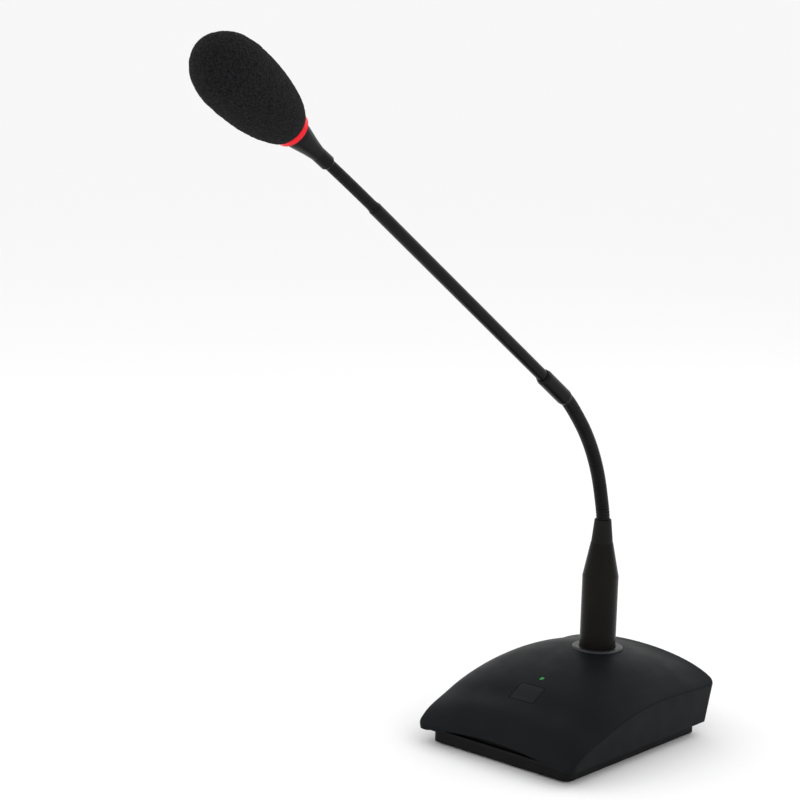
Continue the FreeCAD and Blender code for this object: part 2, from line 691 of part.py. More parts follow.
def make_jack():
    """Panel jack: its bore faces backwards and runs along the body."""
    backward = Rotation(Vector(1, 0, 0), -90)
    x = -size("jack_x")
    z = size("jack_z")
    half = size("jack_body_side") / 2
    front = size("jack_body_front")
    block = box("jack_block", "jack_body_side", "jack_body_back - jack_body_front", "jack_body_side",
                upright(x - half, front, z - half))
    thread = cylinder("jack_thread", "jack_thread_radius", "jack_thread_back - jack_body_back + 1",
                      Placement(Vector(x, size("jack_body_back") - 1, z), backward))
    bore = cylinder("jack_bore_cut", "jack_bore", "jack_thread_back",
                    Placement(Vector(x, front + 2, z), backward))
    less("output_jack", fused("jack_solid", [block, thread]), bore)

    disc = cylinder("washer_disc", "washer_radius", "washer_thickness",
                    Placement(Vector(x, size("washer_front"), z), backward))
    hole = cylinder("washer_hole", "jack_thread_radius + 0.1", "washer_thickness + 2",
                    Placement(Vector(x, size("washer_front") - 1, z), backward))
    less("jack_washer", disc, hole)

    nut_front = size("washer_front") + size("washer_thickness")
    nut = bind(doc.addObject("Part::Prism", "nut_block"), Height="nut_thickness",
               Circumradius="nut_flat * 0.57735")
    nut.Polygon = 6
    nut.Placement = Placement(Vector(x, nut_front, z), backward)
    nut_hole = cylinder("nut_hole", "jack_thread_radius", "nut_thickness + 2",
                        Placement(Vector(x, nut_front - 1, z), backward))
    less("jack_nut", nut, nut_hole)


# ---- base: socket -------------------------------------------------------------------------------
def pin_places(circle):
    """Three contact places, two in front and one behind, on a circle about the axis."""
    return [(circle * math.cos(math.radians(turn)), circle * math.sin(math.radians(turn)))
            for turn in (90, 210, 330)]


def make_socket():
    turned("socket_bezel", [
        ("bezel_bore", "bezel_bottom"), ("bezel_radius", "bezel_bottom"),
        ("bezel_radius", "bezel_top - bezel_bevel"), ("bezel_radius - bezel_bevel", "bezel_top"),
        ("bezel_bore", "bezel_top")])
    turned("socket_shell", [
        ("0", "socket_bottom"), ("socket_radius", "socket_bottom"), ("socket_radius", "bezel_bottom"),
        ("socket_bore", "bezel_bottom"), ("socket_bore", "socket_floor"), ("0", "socket_floor")])
    core = turned("insert_core", [
        ("0", "socket_floor"), ("insert_radius", "socket_floor"), ("insert_radius", "insert_top"),
        ("0", "insert_top")])
    holes = []
    contacts = []
    for index, (x, y) in enumerate(pin_places(size("pin_circle"))):
        holes.append(cylinder(f"insert_hole_{index + 1}", "pin_hole", "insert_top",
                              upright(x, y, size("contact_bottom"))))
        sleeve = cylinder(f"contact_sleeve_{index + 1}", "pin_hole", "contact_top - contact_bottom",
                          upright(x, y, size("contact_bottom")))
        bore = cylinder(f"contact_bore_{index + 1}", "contact_bore", "contact_top",
                        upright(x, y, size("contact_bottom") + 2))
        contacts.append(less(f"contact_{index + 1}", sleeve, bore))
    less("socket_insert", core, fused("insert_holes", holes))
    group("socket_contacts", contacts)


# ---- plug ---------------------------------------------------------------------------------------
def make_plug():
    turned("plug_barrel", [
        ("plug_bore", "plug_bottom"), ("plug_radius - plug_edge", "plug_bottom"),
        ("plug_radius", "plug_bottom + plug_edge"), ("plug_radius", "plug_top"), ("plug_bore", "plug_top")])
    disc = turned("plug_insert_disc", [
        ("0", "plug_insert_bottom"), ("plug_bore", "plug_insert_bottom"), ("plug_bore", "plug_insert_top"),
        ("0", "plug_insert_top")])
    pins = []
    holes = []
    for index, (x, y) in enumerate(pin_places(size("pin_circle"))):
        tip = turned(f"plug_pin_{index + 1}", [
            ("0", "pin_bottom"), ("pin_radius - 0.5", "pin_bottom"), ("pin_radius", "pin_bottom + 0.8"),
            ("pin_radius", "pin_top"), ("0", "pin_top")], upright(x, y, 0))
        pins.append(tip)
        holes.append(cylinder(f"plug_pin_hole_{index + 1}", "pin_radius", "pin_top - plug_insert_bottom",
                              upright(x, y, size("plug_insert_bottom"))))
    less("plug_insert", disc, fused("plug_pin_holes", holes))
    group("plug_pins", pins)
    turned("plug_cone", [
        ("cone_bore", "cone_skirt_bottom"), ("cone_skirt_radius", "cone_skirt_bottom"),
        ("cone_skirt_radius", "plug_top"), ("plug_radius", "plug_top"),
        ("plug_radius", "plug_top + cone_band"), ("cone_top_radius", "cone_top"), ("cone_bore", "cone_top")])
    turned("strain_boot", [
        ("boot_bore", "boot_stub_bottom"), ("boot_stub_radius", "boot_stub_bottom"),
        ("boot_stub_radius", "cone_top"), ("boot_radius", "cone_top"),
        ("boot_top_radius", "boot_top"), ("boot_bore", "boot_top")])
    turned("lower_neck_root", [
        ("0", "neck_root_bottom"), ("neck_radius", "neck_root_bottom"), ("neck_radius", "neck_start"),
        ("neck_dome", "neck_start", "arc"), ("0", "neck_start + neck_dome")])


# ---- goosenecks -----------------------------------------------------------------------------------
def make_link(name, kind, length_alias, place):
    """One link: a cup about its lower joint and a dome about its upper joint."""
    turned(name, [
        ("0", kind + "_cup", "arc"), (kind + "_rim", kind + "_gap"), (kind + "_radius", kind + "_gap"),
        (kind + "_radius", length_alias), (kind + "_dome", length_alias, "arc"),
        ("0", f"{length_alias} + {kind}_dome")], place)


def make_lower_neck():
    """Each link spans two joints of the arc, so its length goes into the sheet first."""
    for index in range(LOWER_LINKS):
        lower, upper = LOWER_JOINTS[index], LOWER_JOINTS[index + 1]
        alias = "neck_link_" + STATIONS[index]
        add_cell(alias, round(math.dist(lower, upper), 4))
        doc.recompute()
        make_link(f"lower_neck_link_{index + 1}", "neck", alias, leaning(*lower, lean_between(lower, upper)))


def make_tube():
    turned("lower_collar", [
        ("0", "neck_cup", "arc"), ("neck_rim", "neck_gap"), ("collar_neck_radius", "neck_gap"),
        ("collar_radius", "neck_gap + collar_shoulder"),
        ("collar_radius", "collar_length - collar_shoulder"),
        ("tube_radius + 0.5", "collar_length"), ("collar_bore", "collar_length"),
        ("collar_bore", "collar_seat"), ("0", "collar_seat")], TUBE_PLACE)
    turned("rigid_tube", [
        ("tube_bore", "collar_seat"), ("tube_radius", "collar_seat"),
        ("tube_radius", "tube_end - tube_chamfer"), ("tube_tip_radius", "tube_end"),
        ("tube_bore", "tube_end")], TUBE_PLACE)
    turned("microphone_lead", [
        ("0", "mic_lead_start"), ("mic_lead_radius", "mic_lead_start"),
        ("mic_lead_radius", "mic_lead_end"), ("0", "mic_lead_end")], TUBE_PLACE)
    turned("upper_neck_root", [
        ("0", "thin_root_bottom"), ("thin_root_radius", "thin_root_bottom"),
        ("thin_root_radius", "tube_end"), ("thin_radius", "tube_end"), ("thin_radius", "thin_start"),
        ("thin_dome", "thin_start", "arc"), ("0", "thin_start + thin_dome")], TUBE_PLACE)


def make_upper_neck():
    for index in range(UPPER_LINKS):
        make_link(f"upper_neck_link_{index + 1}", "thin", "thin_link",
                  leaning(*UPPER_JOINTS[index], UPPER_LEANS[index]))


# ---- head -----------------------------------------------------------------------------------------
def head_cylinder(name, radius, height, x, y, z, tilt=None):
    spot = Placement(Vector(x, y, z), tilt or Rotation())
    return cylinder(name, radius, height, HEAD_PLACE.multiply(spot))


def make_head():
    turned("head_sleeve", [
        ("0", "thin_cup", "arc"), ("thin_rim", "thin_gap"), ("sleeve_end_radius", "thin_gap"),
        ("sleeve_radius", "sleeve_end"), ("sleeve_radius", "sleeve_straight"),
        ("sleeve_waist_radius", "sleeve_waist"), ("sleeve_flare_radius", "sleeve_flare"),
        ("sleeve_top_radius", "sleeve_top"), ("spigot_radius", "sleeve_top"),
        ("spigot_radius", "spigot_top"), ("0", "spigot_top")], HEAD_PLACE)
    turned("light_ring", [
        ("ring_bore", "sleeve_top"), ("ring_radius - ring_bevel", "sleeve_top"),
        ("ring_radius", "sleeve_top + ring_bevel"), ("ring_radius", "ring_top - ring_bevel"),
        ("ring_radius - ring_bevel", "ring_top"), ("ring_bore", "ring_top")], HEAD_PLACE)
    turned("ring_board", [
        ("ring_board_bore", "spigot_top"), ("ring_board_radius", "spigot_top"),
        ("ring_board_radius", "ring_board_top"), ("ring_board_bore", "ring_board_top")], HEAD_PLACE)
    leds = []
    half = size("ring_led_side") / 2
    for index, (x, y) in enumerate(pin_places(size("ring_led_radius"))):
        led = box(f"ring_led_{index + 1}", "ring_led_side", "ring_led_side", "ring_led_height",
                  HEAD_PLACE.multiply(upright(x - half, y - half, size("ring_board_top"))))
        leds.append(led)
    group("ring_leds", leds)


def make_capsule():
    cup = turned("housing_cup", [
        ("housing_lead_hole", "ring_top"), ("housing_radius", "ring_top"),
        ("housing_radius", "housing_top"), ("housing_bore", "housing_top"),
        ("housing_bore", "housing_floor"), ("housing_lead_hole", "housing_floor")], HEAD_PLACE)
    ports = []
    for index in range(6):
        sideways = Rotation(Vector(0, 0, 1), index * 60).multiply(Rotation(Vector(0, 1, 0), 90))
        ports.append(head_cylinder(f"housing_port_{index + 1}", "port_radius", "housing_radius + 1",
                                   0, 0, size("port_height"), sideways))
    less("capsule_housing", cup, fused("housing_ports", ports))
    turned("capsule_holder", [
        ("capsule_radius", "holder_bottom"), ("housing_bore", "holder_bottom"),
        ("housing_bore", "holder_top"), ("capsule_radius", "holder_top")], HEAD_PLACE)
    turned("capsule", [
        ("0", "capsule_bottom"), ("capsule_radius", "capsule_bottom"), ("capsule_radius", "capsule_top"),
        ("0", "capsule_top")], HEAD_PLACE)
    disc = head_cylinder("grille_disc", "housing_bore", "grille_thickness", 0, 0, size("grille_bottom"))
    holes = []
    pitch = size("grille_pitch")
    for row in range(-2, 3):
        for column in range(-2, 3):
            x = (column + 0.5 * (row % 2)) * pitch
            y = row * pitch * math.sqrt(3) / 2
            if math.hypot(x, y) < size("housing_bore") - 1.2:
                holes.append(head_cylinder(f"grille_hole_{len(holes) + 1}", "grille_hole",
                                           "grille_thickness + 2", x, y, size("grille_bottom") - 1))
    less("capsule_grille", disc, fused("grille_holes", holes))


def make_windscreen():
    """Foam egg: a short half ellipsoid towards the tip, a long one towards the ring, and a bore."""
    tip = bind(doc.addObject("Part::Ellipsoid", "foam_tip_half"), Radius1="foam_tip - foam_widest",
               Radius2="foam_radius")
    tip.Angle1 = 0
    tip.Placement = HEAD_PLACE.multiply(upright(0, 0, size("foam_widest")))
    tail = bind(doc.addObject("Part::Ellipsoid", "foam_tail_half"), Radius1="foam_tail",
                Radius2="foam_radius")
    tail.Angle2 = 0
    tail.Placement = tip.Placement
    flat = size("foam_bottom")
    below = head_cylinder("foam_below", "foam_radius + 5", "foam_tail", 0, 0, flat - size("foam_tail"))
    bore = head_cylinder("foam_bore_cut", "foam_bore", "foam_bore_top - foam_bottom + 1", 0, 0, flat - 1)
    less("windscreen", fused("foam_egg", [tip, tail]), fused("foam_cuts", [below, bore]))


# ---- building and writing ------------------------------------------------------------------------
NODES = (
    ["non_slip_mat", "bottom_tray", "ballast_plate", "ballast_screws", "cover_screws", "top_cover",
     "board_spacers", "circuit_board", "board_screws", "board_chips", "board_connector", "button_board",
     "button_board_screws", "tact_switch", "status_led", "light_pipe", "talk_button", "switch_plunger",
     "signal_lead", "output_jack", "jack_washer", "jack_nut", "socket_bezel", "socket_shell",
     "socket_insert", "socket_contacts", "plug_barrel", "plug_insert", "plug_pins", "plug_cone",
     "strain_boot", "lower_neck_root"]
    + [f"lower_neck_link_{index + 1}" for index in range(LOWER_LINKS)]
    + ["lower_collar", "rigid_tube", "microphone_lead", "upper_neck_root"]
    + [f"upper_neck_link_{index + 1}" for index in range(UPPER_LINKS)]
    + ["head_sleeve", "light_ring", "ring_board", "ring_leds", "capsule_housing", "capsule_holder",
       "capsule", "capsule_grille", "windscreen"])


def write_parts():
    """Check the whole document, then write one file per node."""
    doc.recompute()
    for item in doc.Objects:
        if "Invalid" in item.State or "Error" in item.State:
            raise RuntimeError(f"{item.Name} failed: {item.State}")
    os.makedirs("parts", exist_ok=True)
    for name in NODES:
        item = doc.getObject(name)
        shape = item.Shape
        if shape.isNull() or not shape.isValid():
            raise RuntimeError(name + " has no valid shape")
        item.Label = name
        shape.exportStep(f"parts/{name}.step")
        print(f"{name}: {len(shape.Solids)} solid(s), {shape.Volume:.1f} mm3")


def main():
    make_mat()
    make_tray()
    make_ballast()
    make_base_screws()
    outer_form = make_cover()
    make_button(outer_form)
    make_button_board()
    make_board()
    make_signal_lead()
    make_jack()
    make_socket()
    make_plug()
    make_lower_neck()
    make_tube()
    make_upper_neck()
    make_head()
    make_capsule()
    make_windscreen()
    write_parts()
    print("lower joints (y, z):", [(round(y, 3), round(z, 3)) for y, z in LOWER_JOINTS])
    print("upper joints (y, z):", [(round(y, 3), round(z, 3)) for y, z in UPPER_JOINTS])
    print("upper leans:", [round(lean, 2) for lean in UPPER_LEANS])


main()
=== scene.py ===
# %% [markdown]
# # A gooseneck podium microphone
# A weighted base stands on the desk. A plug rises out of it and carries a bent gooseneck, a rigid tube, a
# thin gooseneck and a head with a red light ring and a foam windscreen. The rigid parts come from a packed
# CAD model. This file gives them their finishes, and makes the pieces that bend or are soft: the two wound
# goosenecks and the foam. Everything is in metres, with +Z up and -Y towards the talker.

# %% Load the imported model
import json
import math

import bmesh
import bpy
from mathutils import Matrix, Vector, noise


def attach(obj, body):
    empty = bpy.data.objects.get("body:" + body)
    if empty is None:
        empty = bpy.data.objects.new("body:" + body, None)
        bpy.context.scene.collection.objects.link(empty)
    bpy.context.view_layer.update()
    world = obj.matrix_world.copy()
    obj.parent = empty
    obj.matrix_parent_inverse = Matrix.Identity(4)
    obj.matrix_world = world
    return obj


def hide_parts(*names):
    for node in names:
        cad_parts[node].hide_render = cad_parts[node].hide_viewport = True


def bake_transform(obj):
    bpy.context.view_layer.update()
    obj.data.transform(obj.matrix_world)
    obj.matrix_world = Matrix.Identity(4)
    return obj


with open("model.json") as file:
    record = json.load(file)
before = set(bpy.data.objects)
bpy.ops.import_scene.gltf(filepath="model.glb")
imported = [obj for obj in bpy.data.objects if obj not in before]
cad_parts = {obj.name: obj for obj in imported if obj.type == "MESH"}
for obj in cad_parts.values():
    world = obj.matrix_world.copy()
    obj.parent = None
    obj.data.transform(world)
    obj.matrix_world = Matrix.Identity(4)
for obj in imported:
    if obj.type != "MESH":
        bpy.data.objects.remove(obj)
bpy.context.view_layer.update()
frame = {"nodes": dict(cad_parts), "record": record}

# %% Read the joints that the new pieces follow
joints = {joint["name"]: joint for joint in frame["record"]["behaviour"]["joints"]}


def joint_point(name):
    """The centre of a hinge at rest."""
    return Vector(joints[name]["pos_m"])


print(len(joints), "joints:", ", ".join(sorted(joints)))

# %% [markdown]
# ## The camera
# A long lens keeps the base's edges nearly parallel, as a product shot does. The camera stands in front and
# to the right, a little above the head, and is turned slightly about its own axis. Its place and its three
# angles are given directly, because a camera aimed at a point can't be rolled.

# %% Camera
TURN_ROUND = math.radians(41.3)
LOOK_DOWN = math.radians(10.66)
ROLL = math.radians(1.57)
CAMERA_PLACE = Vector((0.66588, -0.92078, 0.38575))
LENS_LENGTH, SENSOR_WIDTH = 100.35, 36    # millimetres

backwards = Vector((math.sin(TURN_ROUND) * math.cos(LOOK_DOWN),
                    -math.cos(TURN_ROUND) * math.cos(LOOK_DOWN), math.sin(LOOK_DOWN)))
level_right = Vector((math.cos(TURN_ROUND), math.sin(TURN_ROUND), 0))
level_up = backwards.cross(level_right)
camera_right = math.cos(ROLL) * level_right + math.sin(ROLL) * level_up
camera_up = -math.sin(ROLL) * level_right + math.cos(ROLL) * level_up

lens = bpy.data.cameras.new("product_camera")
lens.sensor_width = SENSOR_WIDTH
lens.lens = LENS_LENGTH
camera = bpy.data.objects.new("product_camera", lens)
bpy.context.collection.objects.link(camera)
camera_turn = Matrix((camera_right, camera_up, backwards)).transposed()
camera.matrix_world = Matrix.LocRotScale(CAMERA_PLACE, camera_turn, None)
bpy.context.scene.camera = camera
print("camera", [round(place, 3) for place in camera.location], "lens", lens.lens, "mm")

# %% [markdown]
# ## Floor and light
# Black, satin pieces show little but the reflections of what stands around them, so large soft panels
# matter more than bright ones. A pale world fills the shadows, a broad panel above and behind draws the
# highlight along the cover's back edge, and tall panels at the sides draw the upright lines on the barrel.

# %% Floor
FLOOR_REACH = 80         # metres from the middle to an edge, far enough to run out of sight
FLOOR_DROP = 0.0002      # keeps the floor just clear of the mat's underside

floor_mesh = bmesh.new()
bmesh.ops.create_grid(floor_mesh, x_segments=1, y_segments=1, size=FLOOR_REACH)
floor_data = bpy.data.meshes.new("floor")
floor_mesh.to_mesh(floor_data)
floor_mesh.free()
floor = bpy.data.objects.new("floor", floor_data)
bpy.context.collection.objects.link(floor)
floor.location.z = -FLOOR_DROP

floor_paint = bpy.data.materials.new("pale_floor")
floor_paint.use_nodes = True
floor_shader = floor_paint.node_tree.nodes["Principled BSDF"]
floor_shader.inputs["Base Color"].default_value = (0.93, 0.93, 0.93, 1)
floor_shader.inputs["Roughness"].default_value = 0.9
floor_data.materials.append(floor_paint)
print("floor", 2 * FLOOR_REACH, "m across")

# %% World and soft panels
world = bpy.data.worlds.new("studio")
bpy.context.scene.world = world
world.use_nodes = True
world.node_tree.nodes["Background"].inputs["Color"].default_value = (1, 1, 1, 1)
world.node_tree.nodes["Background"].inputs["Strength"].default_value = 1.0
bpy.context.scene.view_settings.view_transform = "Standard"


def soft_panel(name, place, aim, width, height, power):
    """A rectangular light at a place, facing a point. The sides are in metres and the power in watts."""
    light = bpy.data.lights.new(name, "AREA")
    light.shape = "RECTANGLE"
    light.size, light.size_y = width, height
    light.energy = power
    panel = bpy.data.objects.new(name, light)
    bpy.context.collection.objects.link(panel)
    panel.location = place
    panel.rotation_mode = "QUATERNION"
    panel.rotation_quaternion = (Vector(aim) - Vector(place)).to_track_quat("-Z", "Y")


soft_panel("panel_back", (0.35, 0.75, 0.85), (0, -0.02, 0.03), 0.9, 0.6, 2.0)
soft_panel("panel_left", (-0.95, -0.55, 0.75), (0, -0.1, 0.15), 0.6, 1.0, 1.6)
soft_panel("panel_front_right", (1.15, -0.35, 0.75), (0, -0.05, 0.1), 0.5, 1.0, 1.0)

# %% [markdown]
# ## Finishes
# Almost every piece is black or charcoal, so the finishes differ in how rough they are, how coarse their
# grain is and how evenly they are coloured. Each finish is a Principled shader. Noise in the piece's own
# coordinates varies its colour and roughness, and a finer noise drives a Bump node for the grain. A
# value that is the same all over is set on the shader itself.

# %% Helper: one finish
CLOUD_RANGE = (0.32, 0.68)    # where the dark colour ends and the light one starts, in noise values
SMEAR_RANGE = (0.3, 0.7)      # the noise values that get the two ends of the roughness
SMEARS_PER_CLOUD = 2.7        # how much finer the change of roughness is than the change of colour


def add_noise(tree, scale, detail, stretch=(1, 1, 1)):
    """Noise in Object coordinates, with the scale counted per metre; stretch draws it out along axes."""
    place = tree.nodes.new("ShaderNodeTexCoord")
    mapping = tree.nodes.new("ShaderNodeMapping")
    mapping.inputs["Scale"].default_value = stretch
    pattern = tree.nodes.new("ShaderNodeTexNoise")
    pattern.inputs["Scale"].default_value = scale
    pattern.inputs["Detail"].default_value = detail
    tree.links.new(place.outputs["Object"], mapping.inputs["Vector"])
    tree.links.new(mapping.outputs["Vector"], pattern.inputs["Vector"])
    return pattern


def make_finish(name, light, dark, rough, metal=0.0, cloud=60, grain=3500, depth=0.00004,
                strength=0.35, stretch=(1, 1, 1), **sockets):
    """A finish: two colours mixed by clouds, a range of roughness, and a grain of a given depth in metres."""
    finish = bpy.data.materials.new(name)
    finish.use_nodes = True
    tree = finish.node_tree
    shader = tree.nodes["Principled BSDF"]
    shader.inputs["Metallic"].default_value = metal
    for socket, value in sockets.items():
        shader.inputs[socket.replace("_", " ")].default_value = value

    clouds = add_noise(tree, cloud, 4)
    tint = tree.nodes.new("ShaderNodeValToRGB")
    for stop, position, colour in zip(tint.color_ramp.elements, CLOUD_RANGE, (dark, light)):
        stop.position = position
        stop.color = (*colour, 1)
    tree.links.new(clouds.outputs["Fac"], tint.inputs["Fac"])
    tree.links.new(tint.outputs["Color"], shader.inputs["Base Color"])

    smears = add_noise(tree, cloud * SMEARS_PER_CLOUD, 5, stretch)
    spread = tree.nodes.new("ShaderNodeMapRange")
    spread.inputs["From Min"].default_value, spread.inputs["From Max"].default_value = SMEAR_RANGE
    spread.inputs["To Min"].default_value, spread.inputs["To Max"].default_value = rough
    tree.links.new(smears.outputs["Fac"], spread.inputs["Value"])
    tree.links.new(spread.outputs["Result"], shader.inputs["Roughness"])

    grains = add_noise(tree, grain, 2, stretch)
    bump = tree.nodes.new("ShaderNodeBump")
    bump.inputs["Strength"].default_value = strength
    bump.inputs["Distance"].default_value = depth
    tree.links.new(grains.outputs["Fac"], bump.inputs["Height"])
    tree.links.new(bump.outputs["Normal"], shader.inputs["Normal"])
    return finish


# %% [markdown]
# ### Moulded and painted finishes
# The cover is moulded with a fine spark-eroded grain, so it is matte and reads a little lighter where it
# faces the light. The barrel, cone, tube and sleeve are smoother, a satin black. On the barrel and cone a
# turned surface still shows, as a faint stretch of the grain round the axis.

# %% Housing finishes
cover_finish = make_finish("cover_charcoal", (0.0052, 0.0064, 0.008), (0.0038, 0.0045, 0.0055), (0.44, 0.54),
                           cloud=30, grain=4200, depth=0.00006, strength=0.55, IOR=1.15)
button_finish = make_finish("button_charcoal", (0.0062, 0.0072, 0.0088), (0.005, 0.0058, 0.0068),
                            (0.36, 0.46), cloud=60, grain=4600, depth=0.00005, strength=0.45,
                            IOR=1.18)
tray_finish = make_finish("tray_black", (0.0062, 0.006, 0.006), (0.0045, 0.0044, 0.0044), (0.5, 0.62),
                          cloud=40, grain=3000, depth=0.00006, strength=0.5, IOR=1.2)
insulator_finish = make_finish("insulator_black", (0.012, 0.012, 0.0125), (0.008, 0.008, 0.0085),
                               (0.4, 0.5), cloud=120, grain=5000, depth=0.00003, Specular_IOR_Level=0.3)
jack_finish = make_finish("jack_black", (0.01, 0.01, 0.01), (0.007, 0.007, 0.007), (0.3, 0.42),
                          cloud=120, grain=5000, depth=0.00003, Specular_IOR_Level=0.3)
bezel_finish = make_finish("bezel_graphite", (0.02, 0.0195, 0.0225), (0.014, 0.0135, 0.016), (0.32, 0.42),
                           metal=0.5, cloud=150, grain=5200, depth=0.00003, Specular_IOR_Level=0.4)
print("housing finishes made")

# %% Neck and head finishes
plug_finish = make_finish("plug_satin_black", (0.0062, 0.0054, 0.0046), (0.0045, 0.004, 0.0035),
                          (0.24, 0.33), cloud=70, grain=4200, depth=0.00002, strength=0.12,
                          stretch=(1, 1, 3), IOR=1.18)
tube_finish = make_finish("tube_satin_black", (0.0058, 0.0058, 0.006), (0.004, 0.004, 0.0042),
                          (0.26, 0.36), cloud=70, grain=4200, depth=0.00002, strength=0.15,
                          IOR=1.18)
neck_finish = make_finish("wound_wire_black", (0.006, 0.006, 0.0062), (0.004, 0.004, 0.0043), (0.3, 0.42),
                          cloud=160, grain=4800, depth=0.00003, strength=0.35, IOR=1.18)
boot_finish = make_finish("boot_rubber", (0.0065, 0.0062, 0.0058), (0.0045, 0.0043, 0.004), (0.46, 0.58),
                          cloud=110, grain=3800, depth=0.00004, IOR=1.22)
grille_finish = make_finish("grille_black", (0.03, 0.03, 0.03), (0.02, 0.02, 0.02), (0.35, 0.45), metal=0.5,
                            cloud=200, grain=6000, depth=0.00002)
print("neck and head finishes made")

# %% [markdown]
# ### Metals, boards and small parts
# The inner pieces show only when the plug is pulled, the foam is off or the tray is seen from below, but
# each gets the finish of the real one: zinc-plated steel, nickel, brass, laminate and moulded resin.

# %% Inner finishes
zinc_finish = make_finish("zinc_plate", (0.58, 0.58, 0.57), (0.45, 0.46, 0.47), (0.28, 0.45), metal=1.0,
                          cloud=90, grain=2600, depth=0.00003, stretch=(1, 6, 1))
nickel_finish = make_finish("nickel_plate", (0.66, 0.64, 0.6), (0.55, 0.54, 0.51), (0.14, 0.26), metal=1.0,
                            cloud=180, grain=5000, depth=0.00002)
brass_finish = make_finish("contact_brass", (0.78, 0.58, 0.26), (0.66, 0.47, 0.2), (0.18, 0.32), metal=1.0,
                           cloud=220, grain=6000, depth=0.00002)
alloy_finish = make_finish("capsule_alloy", (0.68, 0.68, 0.69), (0.56, 0.57, 0.58), (0.25, 0.38), metal=1.0,
                           cloud=200, grain=5200, depth=0.00002)
board_finish = make_finish("board_laminate", (0.012, 0.12, 0.05), (0.008, 0.085, 0.036), (0.22, 0.34),
                           cloud=240, grain=2400, depth=0.00004)
chip_finish = make_finish("chip_resin", (0.02, 0.02, 0.02), (0.013, 0.013, 0.013), (0.45, 0.55), cloud=300,
                          grain=6500, depth=0.00003)
connector_finish = make_finish("connector_ivory", (0.62, 0.58, 0.46), (0.54, 0.5, 0.4), (0.35, 0.45),
                               cloud=260, grain=5200, depth=0.00002)
switch_finish = make_finish("switch_grey", (0.09, 0.09, 0.09), (0.06, 0.06, 0.06), (0.38, 0.48), cloud=260,
                            grain=5200, depth=0.00002)
jacket_finish = make_finish("lead_jacket", (0.02, 0.02, 0.02), (0.013, 0.013, 0.013), (0.48, 0.6), cloud=150,
                            grain=3600, depth=0.00003)
diode_finish = make_finish("diode_resin", (0.8, 0.76, 0.6), (0.7, 0.66, 0.5), (0.2, 0.3), cloud=400,
                           grain=7000, depth=0.00002)
holder_finish = make_finish("holder_rubber", (0.025, 0.025, 0.025), (0.017, 0.017, 0.017), (0.55, 0.65),
                            cloud=200, grain=4000, depth=0.00003)
print("inner finishes made")

# %% [markdown]
# ### The rubber mat
# The mat under the base is ribbed so that it grips. The ribs are a wave across the piece rather than
# modelled ones, because they are a fraction of a millimetre deep.

# %% Rubber mat finish
RIB_SCALE = 130
RIB_SPACING = 2 * math.pi / (20 * RIB_SCALE)    # a wave texture turns 20 radians per metre and unit of scale

mat_finish = make_finish("mat_rubber", (0.022, 0.022, 0.022), (0.014, 0.014, 0.014), (0.6, 0.75), cloud=80,
                         grain=2600, depth=0.00005)
mat_tree = mat_finish.node_tree
mat_place = mat_tree.nodes.new("ShaderNodeTexCoord")
mat_ribs = mat_tree.nodes.new("ShaderNodeTexWave")
mat_ribs.bands_direction = "X"
mat_ribs.inputs["Scale"].default_value = RIB_SCALE
mat_ribs.inputs["Distortion"].default_value = 0
mat_bump = mat_tree.nodes.new("ShaderNodeBump")
mat_bump.inputs["Strength"].default_value = 0.8
mat_bump.inputs["Distance"].default_value = 0.0004
mat_tree.links.new(mat_place.outputs["Object"], mat_ribs.inputs["Vector"])
mat_tree.links.new(mat_ribs.outputs["Fac"], mat_bump.inputs["Height"])
mat_grain_bump = next(node for node in mat_tree.nodes if node.type == "BUMP" and node != mat_bump)
mat_tree.links.new(mat_bump.outputs["Normal"], mat_grain_bump.inputs["Normal"])
print("mat ribs", round(1000 * RIB_SPACING, 2), "mm apart")

# %% [markdown]
# ### The lit pieces
# The ring round the head and the small light beside the talk button are clear mouldings lit from behind by
# diodes. A light alone would look flat, so a modest emission is laid over a saturated base colour, whose
# faint noise keeps the piece from looking painted on.

# %% Lit finishes
def make_lit_finish(name, light, dark, glow, power):
    """A glossy moulding that also gives off light."""
    finish = make_finish(name, light, dark, (0.26, 0.32), cloud=300, grain=3000, depth=0.00001, IOR=1.3)
    shader = finish.node_tree.nodes["Principled BSDF"]
    shader.inputs["Emission Color"].default_value = (*glow, 1)
    shader.inputs["Emission Strength"].default_value = power
    return finish


ring_finish = make_lit_finish("ring_lit_red", (0.56, 0.004, 0.01), (0.53, 0.0035, 0.009),
                              (1.0, 0.01, 0.03), 0.3)
light_finish = make_lit_finish("button_light_green", (0.03, 0.22, 0.05), (0.02, 0.16, 0.035),
                               (0.04, 0.5, 0.1), 0.1)
print("lit finishes made")

# %% [markdown]
# ## Give every CAD piece its finish
# The CAD pieces keep their shapes. Only the materials in their slots change. The windscreen isn't in the
# list, because a foam piece made further down replaces it, so it just takes the neck's finish here.

